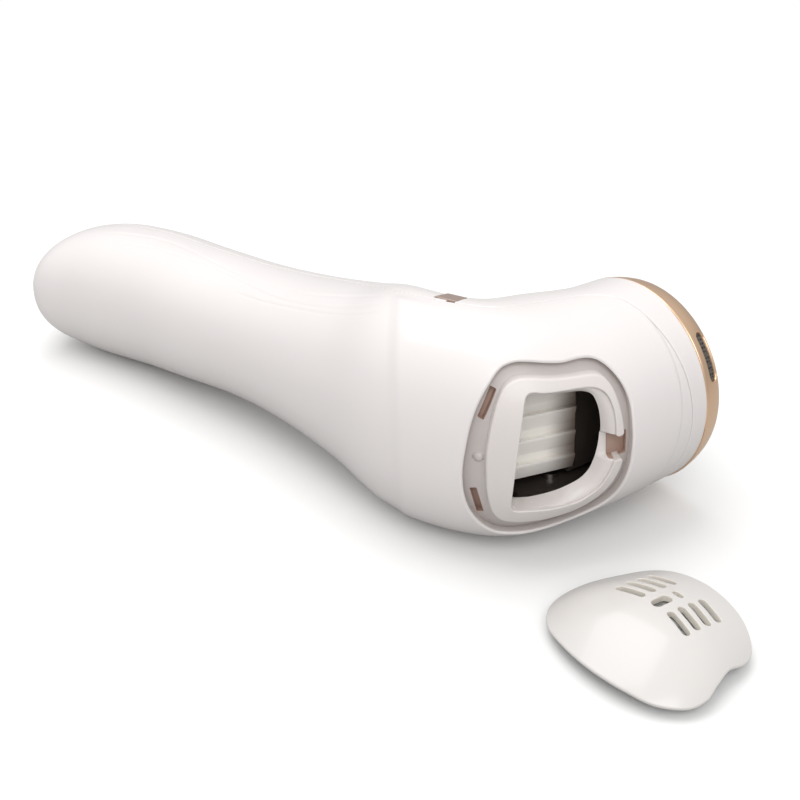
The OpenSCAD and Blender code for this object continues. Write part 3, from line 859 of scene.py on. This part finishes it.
def add_patch(shape, x_range, y_range, step, field, depth, material, edges=()):
    """Adds a surface at the given depth below the body, kept where the field is positive."""
    verts, faces, loops = clip(plane_grid(x_range, y_range, step), field)
    lifted, normals, slope_x, slope_y = lifted_surface(
        lambda points: height(points) - depth(points), verts, 0.03)
    points = OPENING_AT + from_opening(lifted)
    index = shape.surface(points, from_opening(normals), faces, material)
    for loop, closed in loops:
        for part, shut, edge in edge_runs(verts, loop, closed, edges):
            out = lifted_outward(field, verts[part], slope_x[part], slope_y[part])
            walls = [edge.radius + wall for wall in edge.walls]
            shape.strip(index[part].tolist(), shut, points[part], from_opening(out),
                        OPENING_OUT, fillet(edge.radius, edge.segments, walls), edge.material)


# material slots of the recess: darkened white, brown and darker white, all three painted shade
RECESS_PAINTED_SHADE, DEEP_PAINTED_SHADE, LEDGE_PAINTED_SHADE = range(3)
LEDGE_DEPTH = 3.2
LIP_DEPTH = 0.75
LIP_ROUND = 0.42
HOLE_ROUND = 0.5
NOTCH_ROUND = 0.15
# hook slots: centre, length, width, turn in degrees
SLOTS = [((-12.9, 12.8), 7.2, 1.25, -25), ((-15.3, -11.9), 7.4, 1.3, 14)]
NOTCH_AT = (16.6, 0.0)
NOTCH_HALF = (2.2, 2.9)
BUMP_AT = (-15.2, 0.4)
BUMP_RADIUS = 1.15
BUMP_HEIGHT = 0.9


def notch_distance(points, grow=0.0):
    half = [size + grow for size in NOTCH_HALF]
    return box_distance(points, NOTCH_AT, half, corner=0.35)


def slot_distance(points, slot, grow, corner):
    centre, length, width, turn = slot
    return box_distance(points, centre, (width / 2 + grow, length / 2 + grow), turn, corner)


def ledge_field(points):
    field = np.minimum(0.35 - loop_distance(points, RIM), loop_distance(points, COLLAR) + 0.5)
    field = np.minimum(field, notch_distance(points) - NOTCH_ROUND)
    for slot in SLOTS:
        field = np.minimum(field, slot_distance(points, slot, grow=0.15, corner=0.25))
    return field


def ledge_depth(points):
    """Ledge with a small round bump between the hook slots."""
    radius = np.hypot(points[:, 0] - BUMP_AT[0], points[:, 1] - BUMP_AT[1])
    dome = np.sqrt(np.clip(1 - (radius / BUMP_RADIUS) ** 2, 0, 1))
    return LEDGE_DEPTH - BUMP_HEIGHT * dome


def lip_field(points):
    band = np.minimum(-loop_distance(points, COLLAR), loop_distance(points, LIP))
    return np.minimum(band, notch_distance(points)) - LIP_ROUND


def funnel_field(points):
    band = np.minimum(0.2 - loop_distance(points, LIP),
                      loop_distance(points, HOLE) - HOLE_ROUND)
    return np.minimum(band, notch_distance(points) - NOTCH_ROUND)


def funnel_depth(points):
    """Falls from the lip to a flat edge around the hole."""
    from_lip = np.maximum(-loop_distance(points, LIP), 0)
    from_hole = np.maximum(loop_distance(points, HOLE) - HOLE_ROUND, 0)
    share = from_lip / np.maximum(from_lip + from_hole, 1e-6)
    start = LIP_DEPTH + 1.0
    end = height(points) + 2.6
    # ramp that runs down into the latch notch
    ramp = (1.9 * smooth_step(points[:, 0], 11.6, 14.6)
            * smooth_step(-np.abs(points[:, 1]), -3.3, -2.4))
    return start + (end - start) * share ** 1.15 + ramp


def is_slot(points, closed):
    return closed and abs(points[:, 0].mean() + 14.2) < 2 and np.ptp(points[:, 1]) < 9


def is_notch(points, _closed):
    return np.abs(notch_distance(points) - NOTCH_ROUND) < 0.03


def is_hole(points, closed):
    return closed and abs(np.median(loop_distance(points, HOLE)) - HOLE_ROUND) < 0.2


def recess_shape():
    shape = Shape()
    # the ledge takes its darker white as painted shade
    add_patch(shape, (-20.5, 21.5), (-23.4, 23.4), 0.3, ledge_field, ledge_depth, LEDGE_PAINTED_SHADE, [
        Edge(is_slot, 0.12, (0.3, 1.9), DEEP_PAINTED_SHADE, 3),
        Edge(is_notch, NOTCH_ROUND, (0.5, 2.4), DEEP_PAINTED_SHADE, 3)])
    # floors of the hook slots, brown as painted shade
    for slot in SLOTS:
        x, y = slot[0]
        add_patch(shape, (x - 3, x + 3), (y - 5, y + 5), 0.5,
                  lambda points: -slot_distance(points, slot, grow=0.2, corner=0.1),
                  lambda points: LEDGE_DEPTH + 1.7, DEEP_PAINTED_SHADE)
    # floor of the latch notch, brown as painted shade
    add_patch(shape, (13, 19.2), (-3.2, 3.2), 0.4,
              lambda points: -notch_distance(points, grow=0.1),
              lambda points: LEDGE_DEPTH + 1.5, DEEP_PAINTED_SHADE)
    # top of the collar, in the recess white that is darkened as painted shade
    add_patch(shape, (-14.5, 18.5), (-17.5, 19.2), 0.22, lip_field, lambda points: LIP_DEPTH,
              RECESS_PAINTED_SHADE, [
        Edge(lambda points, closed: True, LIP_ROUND, (0.6, 1.5, 3.4, 6.0), RECESS_PAINTED_SHADE, 5)])
    # funnel from the collar to the hole, in the same darkened recess white (painted shade)
    add_patch(shape, (-12, 18), (-19, 19), 0.25, funnel_field, funnel_depth, RECESS_PAINTED_SHADE, [
        Edge(is_hole, HOLE_ROUND, (1.0, 2.2, 4.0), RECESS_PAINTED_SHADE, 5),
        Edge(is_notch, NOTCH_ROUND, (0.5, 1.6, 3.0), DEEP_PAINTED_SHADE, 3)])
    return shape


recess_ob = recess_shape().build("recess_and_collar",
                                 ["recess_white_painted_shade", "notch_and_slots_painted_shade", "ledge_white_painted_shade"])

# ------------------------------------------------------------ dust cover
COVER_THICK = 1.6
COVER_GAP = 0.3
COVER_ROUND = 0.55
VENT_ROUND = 0.22
# vents: centre, length, width, turn in degrees; two slanting rows of four, two in the middle
VENTS = [((1.5 + 3.3 * i, 6.7 * side), 6.8, 1.8, 14 * side)
         for side in (-1, 1) for i in range(4)]
VENTS += [((3.9, 0.0), 5.4, 2.4, 90), ((9.0, 0.0), 2.6, 1.4, 0)]

COVER_YAW = math.radians(-88)
COVER_PITCH = math.radians(-6)
COVER_AT = np.array([-51.3, 41.9 + FACE_Y, FLOOR_Z + 4.9])  # in the row frame


def cover_field(points):
    field = -(loop_distance(points, COVER_RIM) + COVER_GAP) - COVER_ROUND
    for vent in VENTS:
        field = np.minimum(field, stadium_distance(points, *vent) - VENT_ROUND)
    return field


def cover_shape():
    """Shell of even thickness: top, bottom, and rounded edges between them."""
    shape = Shape()
    verts, faces, loops = clip(plane_grid((-19.5, 20.25), (-22, 22), 0.25), cover_field)
    points, normals, slope_x, slope_y = lifted_surface(height, verts, 0.02)
    top = shape.surface(points, normals, faces)
    bottom = shape.surface(points - normals * COVER_THICK, -normals,
                           [face[::-1] for face in faces])
    for loop, closed in loops:
        border = verts[loop]
        rim = np.median(loop_distance(border, COVER_RIM))
        is_vent = abs(rim + COVER_GAP + COVER_ROUND) > 0.3
        radius, segments, material = (VENT_ROUND, 4, 1) if is_vent else (COVER_ROUND, 6, 0)
        out = unit(lifted_outward(cover_field, border, slope_x[loop], slope_y[loop]))
        curve = fillet(radius, segments)
        profile = curve + [(radius, COVER_THICK - radius)]
        profile += [(outward, COVER_THICK - depth) for outward, depth in curve[-2::-1]]
        last = shape.strip(top[loop].tolist(), closed, points[loop], out, normals[loop],
                           profile, material)
        shape.join(last, bottom[loop].tolist(), closed, material)
    return shape


def cover_direction(vectors):
    """Turns the cover's directions from the opening frame into the row frame."""
    cos, sin = math.cos(COVER_PITCH), math.sin(COVER_PITCH)
    x = vectors[:, 0] * cos + vectors[:, 2] * sin
    y = vectors[:, 1]
    z = -vectors[:, 0] * sin + vectors[:, 2] * cos
    cos, sin = math.cos(COVER_YAW), math.sin(COVER_YAW)
    return np.column_stack([x * cos - y * sin, x * sin + y * cos, z])


cover_ob = cover_shape().build("dust_cover_body", ["gloss_white_cover", "cream_vent_wall"],
                               to_row=lambda points: cover_direction(points) + COVER_AT,
                               to_direction=cover_direction)

# -------------------------------------------------------------- rim ring
# profile of the ring: radius, distance towards the disc
RING_PROFILE = np.array([
    (25.3, -0.5), (25.72, -0.12), (25.95, 0.06), (26.0, 0.35), (25.9, 1.0), (25.72, 1.9),
    (25.45, 3.0), (25.1, 4.1), (24.75, 5.0), (24.35, 5.72), (23.8, 6.3), (23.2, 6.55),
    (22.6, 6.38), (22.25, 5.9), (22.12, 5.2), (22.1, 3.0), (22.1, 0.6)])
RING_STEPS = 120
RING_MID = (23.9, 3.0)  # middle of the profile
INLET_ANGLES = [150, 30, 270]
INLET_RADIUS = 24.9  # where the length of an inlet is measured
INLET_AWAY = 3.75  # distance of the inlets towards the disc
INLET_HALF_STRAIGHT = 4.4
INLET_END_RADIUS = 1.7
INLET_ROUND = 0.22


def even_profile(profile, count):
    """Smooth curve through the profile, evenly spaced along its length."""
    sides = np.linalg.norm(np.diff(profile, axis=0), axis=1)
    length = np.concatenate([[0], np.cumsum(sides)])
    even = np.linspace(0, length[-1], count)
    return [smooth_through(length, profile[:, column], even) for column in (0, 1)]


RING_RADII, RING_AWAY = even_profile(RING_PROFILE, RING_STEPS)


def ring_section(params):
    """Radius and distance towards the disc at the profile steps in column 0."""
    step = np.clip(params[..., 0], 0, RING_STEPS - 1)
    steps = np.arange(RING_STEPS)
    return np.interp(step, steps, RING_RADII), np.interp(step, steps, RING_AWAY)


def ring_point(params):
    """Device point at a profile step and an angle in degrees."""
    radius, away = ring_section(params)
    turn = np.radians(params[..., 1])
    return np.stack([radius * np.cos(turn), -away, radius * np.sin(turn)], -1)


def ring_field(params):
    """Cuts the air inlets through the outer side of the ring."""
    radius, away = ring_section(params)
    out = np.full(away.shape, FAR)
    for angle in INLET_ANGLES:
        turn = (params[..., 1] - angle + 180) % 360 - 180
        x = np.maximum(np.abs(np.radians(turn) * INLET_RADIUS) - INLET_HALF_STRAIGHT, 0)
        out = np.minimum(out, np.hypot(x, away - INLET_AWAY) - INLET_END_RADIUS)
    return np.where(radius > RING_MID[0], out, FAR) - INLET_ROUND


def ring_shape():
    shape = Shape()
    grid = mesh_grid(np.arange(float(RING_STEPS)), np.linspace(0, 360, 541))
    params, faces, loops = clip(grid, ring_field)
    points = ring_point(params)
    du, dv = np.array([0.3, 0.0]), np.array([0.0, 0.05])
    normals = unit(np.cross(ring_point(params + du) - ring_point(params - du),
                            ring_point(params + dv) - ring_point(params - dv)))
    turn = np.radians(params[:, 1])
    middle = np.column_stack([RING_MID[0] * np.cos(turn), np.full(len(params), -RING_MID[1]),
                              RING_MID[0] * np.sin(turn)])
    normals = face_along(normals, points - middle)
    index = shape.surface(points, normals, faces)
    for loop, closed in loops:
        if closed:
            out = surface_outward(ring_field, ring_point, params[loop], 0.2, 0.1)
            shape.strip(index[loop].tolist(), True, points[loop], out, normals[loop],
                        fillet(INLET_ROUND, 4, (0.6, 1.5)))
    return shape


ring_ob = ring_shape().build("rim_ring_body", ["rose_gold"], flip=True)

# ------------------------------------------------------------- grit disc
DISC_RADIUS = 19.95
DISC_FACE = 9.05  # distance of the disc's face from the head centre, towards -Y
GRIT_HEIGHT = 0.26


def disc_shape():
    rng = np.random.default_rng(11)
    shape = Shape()
    verts, faces, loops = clip(
        plane_grid((-20.4, 20.4), (-20.4, 20.4), 0.2),
        lambda points: DISC_RADIUS - np.hypot(points[..., 0], points[..., 1]))
    radius = np.hypot(verts[:, 0], verts[:, 1])
    grain = (rng.uniform(0, 1, len(verts)) ** 3 * GRIT_HEIGHT
             * (1 - smooth_step(radius, 19.3, 19.9)))
    points = np.column_stack([verts[:, 0], -(DISC_FACE + grain), verts[:, 1]])
    index = shape.surface(points, None, faces)
    for loop, closed in loops:
        out = unit(points[loop] * [1, 0, 1])
        shape.strip(index[loop].tolist(), closed, points[loop], out, np.array([0, -1.0, 0]),
                    [(0.05, 0.1), (0.05, 1.0)])
    return shape


disc_ob = disc_shape().build("grit_disc_body", ["grit"], sharp=180)

# ---------------------------------------------------------------- button
BUTTON_HALF_HEIGHT = 1.1
BUTTON_ROUND = 0.5  # width of the rounded rim
BUTTON_DROP = 0.55  # height of the rounded rim


def button_shape():
    """Pillow-shaped top, straight sides and a flat bottom."""
    shape = Shape()
    count = 28
    unit_grid = mesh_grid(np.linspace(-1, 1, count), np.linspace(-1, 1, count))

    def rim_drop(share, half):
        inward = np.clip((np.abs(share) * half - (half - BUTTON_ROUND)) / BUTTON_ROUND, 0, 1)
        return BUTTON_DROP * (1 - np.sqrt(np.clip(1 - inward ** 2, 0, 1)))

    drop = np.maximum(*(rim_drop(unit_grid[..., k], BUTTON_HALF[k]) for k in (0, 1)))
    top = np.concatenate([unit_grid * BUTTON_HALF, (BUTTON_HALF_HEIGHT - drop)[..., None]], -1)
    top = top.reshape(-1, 3)
    shape.add(top)
    shape.faces(grid_quads(count, count).tolist())
    ids = np.arange(count * count).reshape(count, count)
    border = np.concatenate([ids[:, 0], ids[-1, 1:], ids[-2::-1, -1], ids[0, -2:0:-1]])
    bottom = shape.strip(border.tolist(), True, top[border] * [1, 1, 0], 0,
                         np.array([0, 0, 1.0]), [(0, BUTTON_HALF_HEIGHT)])
    shape.faces([bottom])
    return shape


def button_to_row(points):
    """Tilts and turns the button, sets it on the head and moves it to the row frame."""
    x = points[:, 0]
    y = points[:, 1] * math.cos(BUTTON_TILT)
    z = points[:, 2] + points[:, 1] * math.sin(BUTTON_TILT)
    cos, sin = math.cos(math.radians(BUTTON_YAW)), math.sin(math.radians(BUTTON_YAW))
    return row_point(np.column_stack([
        x * cos - y * sin + BUTTON_AT[0], x * sin + y * cos + BUTTON_AT[1], z + BUTTON_Z]))


button_ob = button_shape().build("button_cap", ["button_rose_gold"], to_row=button_to_row,
                                 sharp=40)

# ------------------------------------------------------- bodies
# object, slot, body it rides on, CAD pieces it replaces
for ob, slot_name, body_name, replaced in [
        (rear_ob, "shell_rear", "housing", ["rear_shell"]),
        (recess_ob, "shell_rear", "housing", []),
        (front_ob, "shell_front", "housing", ["front_shell"]),
        (ring_ob, "rose_gold", "housing", ["rim_ring"]),
        (disc_ob, "grit", "grit_disc", ["abrasive_disc"]),
        (button_ob, "rose_gold", "button", ["power_button"]),
        (cover_ob, "cover_white", "cover", ["dust_cover"])]:
    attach(ob, body_name)
    if replaced:
        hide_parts(*replaced)

# ------------------------------------------------------------- CAD pieces
PIECE_MATERIALS = {
    "inlet_meshes": "dark_inlet_mesh", "motor_plate": "black_plastic",
    "plate_screws": "screw_steel", "motor_can": "motor_steel",
    "motor_end_cap": "cap_plastic", "front_bush": "sintered_bronze",
    "rear_bush": "sintered_bronze", "motor_cradle": "black_plastic",
    "cradle_screws": "screw_steel", "louvre_wall": "inner_white", "battery": "cell_wrap",
    "battery_clips": "clip_nickel", "circuit_board": "board_green",
    "tact_switch": "black_plastic", "charging_socket": "black_plastic",
    "lead_wires": "wire_red", "drive_shaft": "shaft_steel", "motor_rotor": "rotor_copper",
    "fan_impeller": "fan_grey", "disc_holder": "holder_white",
    "filter_mesh": "grey_filter_mesh", "filter_foam": "foam_grey",
    "front_shell": "gloss_white_front", "rear_shell": "gloss_white_rear",
    "rim_ring": "rose_gold", "abrasive_disc": "grit", "power_button": "button_rose_gold",
    "dust_cover": "gloss_white_cover"}
SMOOTH_ANGLE = math.radians(32)


def smooth_group():
    """Geometry nodes that shade smooth, except across edges sharper than SMOOTH_ANGLE."""
    group = bpy.data.node_groups.new("smooth_by_angle", "GeometryNodeTree")
    for direction in ("INPUT", "OUTPUT"):
        group.interface.new_socket("Geometry", in_out=direction,
                                   socket_type="NodeSocketGeometry")
    source = add_node(group, "NodeGroupInput")
    angle = add_node(group, "GeometryNodeInputMeshEdgeAngle")
    blunt = add_node(group, "FunctionNodeCompare", data_type="FLOAT", operation="LESS_EQUAL",
                     inputs={0: angle.outputs[0], 1: SMOOTH_ANGLE})
    edges = add_node(group, "GeometryNodeSetShadeSmooth", domain="EDGE",
                     inputs={"Geometry": source.outputs[0], "Shade Smooth": blunt.outputs[0]})
    faces = add_node(group, "GeometryNodeSetShadeSmooth", domain="FACE",
                     inputs={"Geometry": edges.outputs[0]})
    add_node(group, "NodeGroupOutput", {0: faces.outputs[0]})
    return group


group = smooth_group()
for name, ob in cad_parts.items():
    ob.data.materials.clear()
    ob.data.materials.append(MATERIALS[PIECE_MATERIALS[name]])
    ob.modifiers.new("smooth", "NODES").node_group = group


def paint_shade_on_louvre_wall():
    """Paints shade on the ribbed wall: darker towards its far end, deep inside the head."""
    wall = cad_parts["louvre_wall"]
    points = np.array([list(wall.matrix_world @ vert.co) for vert in wall.data.vertices])
    axis = np.linalg.eigh(np.cov(points[:, :2].T))[1][:, 1]
    if axis @ np.array([-0.583, -0.812]) < 0:
        axis = -axis
    end = float((points[:, :2] @ axis).max())
    tree = MATERIALS["inner_white"].node_tree
    base = find_node(tree, "BSDF_PRINCIPLED").inputs["Base Color"]
    position = tree.nodes.new("ShaderNodeNewGeometry").outputs["Position"]
    along = add_node(tree, "ShaderNodeVectorMath", operation="DOT_PRODUCT",
                     inputs={0: position, 1: (float(axis[0]), float(axis[1]), 0.0)})
    # painted shade fades in over the last 8.5 mm and just past the end
    fade = add_node(tree, "ShaderNodeMapRange", interpolation_type="SMOOTHSTEP",
                    inputs={"From Min": end - 0.0085, "From Max": end + 0.0005,
                            "Value": along.outputs["Value"]})
    # dark brown of the painted shade
    colour = add_mix(tree, fade.outputs["Result"], base.links[0].from_socket,
                     (0.16, 0.115, 0.09, 1))
    tree.links.new(colour, base)


paint_shade_on_louvre_wall()

# ------------------------------------------------------ studio and camera
scene = bpy.context.scene
BACKDROP = 1.05  # brightness the camera sees beyond the floor


def build_world():
    """The camera sees plain white; everything else is lit by a grey ramp rising with Z."""
    world = bpy.data.worlds.new("studio")
    scene.world = world
    world.use_nodes = True
    tree = world.node_tree
    background = tree.nodes["Background"]
    coords = add_node(tree, "ShaderNodeTexCoord").outputs["Generated"]
    split = add_node(tree, "ShaderNodeSeparateXYZ", {0: coords})
    grey = add_ramp(tree, split.outputs["Z"],
                    [(0.10, (0.46, 0.46, 0.465)), (0.62, (0.78, 0.78, 0.78))])
    to_camera = add_node(tree, "ShaderNodeLightPath").outputs["Is Camera Ray"]
    colour = add_mix(tree, to_camera, grey, (BACKDROP, BACKDROP, BACKDROP, 1))
    tree.links.new(colour, background.inputs[0])
    background.inputs[1].default_value = 1.0


def floor_material():
    mat = mottled("pale_floor", base=(0.93, 0.93, 0.925), rough=0.6, noise=0.004, scale=8,
                  spec=0.2)
    tree = mat.node_tree
    shader = find_node(tree, "BSDF_PRINCIPLED")
    base = shader.inputs["Base Color"]
    # the floor throws less light back than the camera sees, like a small table
    to_camera = add_node(tree, "ShaderNodeLightPath").outputs["Is Camera Ray"]
    colour = add_mix(tree, to_camera, (0.50, 0.50, 0.495, 1), base.links[0].from_socket)
    tree.links.new(colour, base)
    # far from the device the floor runs into the white background; distances in metres
    position = add_node(tree, "ShaderNodeNewGeometry").outputs["Position"]
    distance = add_node(tree, "ShaderNodeVectorMath", {0: position}, operation="LENGTH")
    fade = add_node(tree, "ShaderNodeMapRange", interpolation_type="SMOOTHSTEP",
                    inputs={"From Min": 0.25, "From Max": 0.58,
                            "Value": distance.outputs["Value"]})
    share = add_node(tree, "ShaderNodeMath", operation="MULTIPLY",
                     inputs={0: fade.outputs["Result"], 1: to_camera})
    glow = add_node(tree, "ShaderNodeEmission",
                    {"Color": (1, 1, 1, 1), "Strength": BACKDROP})
    blend = add_node(tree, "ShaderNodeMixShader", {
        0: share.outputs[0], 1: shader.outputs[0], 2: glow.outputs[0]})
    tree.links.new(blend.outputs[0], find_node(tree, "OUTPUT_MATERIAL").inputs["Surface"])
    return mat


def build_floor():
    half = 6.0  # metres
    z = FLOOR_Z * MM - 0.0001
    mesh = bpy.data.meshes.new("floor")
    corners = [(-half, -half, z), (half, -half, z), (half, half, z), (-half, half, z)]
    mesh.from_pydata(corners, [], [(0, 1, 2, 3)])
    ob = bpy.data.objects.new("floor", mesh)
    scene.collection.objects.link(ob)
    mesh.materials.append(floor_material())
    return ob


def aim(ob, direction):
    """Points the object's -Z axis along the direction."""
    ob.rotation_mode = "QUATERNION"
    ob.rotation_quaternion = direction.to_track_quat("-Z", "Y")


def softbox(name, location, target, width, depth, power):
    """Rectangular area light; lengths in metres, power in watts."""
    light = bpy.data.lights.new(name, "AREA")
    light.shape = "RECTANGLE"
    light.size = width
    light.size_y = depth
    light.energy = power
    ob = bpy.data.objects.new(name, light)
    scene.collection.objects.link(ob)
    ob.location = location
    aim(ob, Vector(np.array(target) - np.array(location)))
    return ob


def build_camera():
    camera = bpy.data.cameras.new("camera")
    camera.lens = 54.59
    camera.sensor_width = 36.0
    camera.clip_start = 0.01
    camera.clip_end = 20
    ob = bpy.data.objects.new("camera", camera)
    scene.collection.objects.link(ob)
    ob.location = (-0.1838, 0.2111, 0.1428)
    aim(ob, Vector((0.0675, 0.0306, -0.0295)) - Vector(ob.location))
    scene.camera = ob


build_world()
floor = build_floor()
key = softbox("key_softbox", location=(0.24, 0.12, 0.76), target=(0.04, 0.05, 0.0),
              width=0.75, depth=0.65, power=3.1)
fill = softbox("fill_softbox", location=(-0.52, 0.42, 0.60), target=(0.05, 0.05, 0.0),
               width=0.6, depth=0.5, power=2.6)
build_camera()
scene.view_settings.view_transform = "Standard"
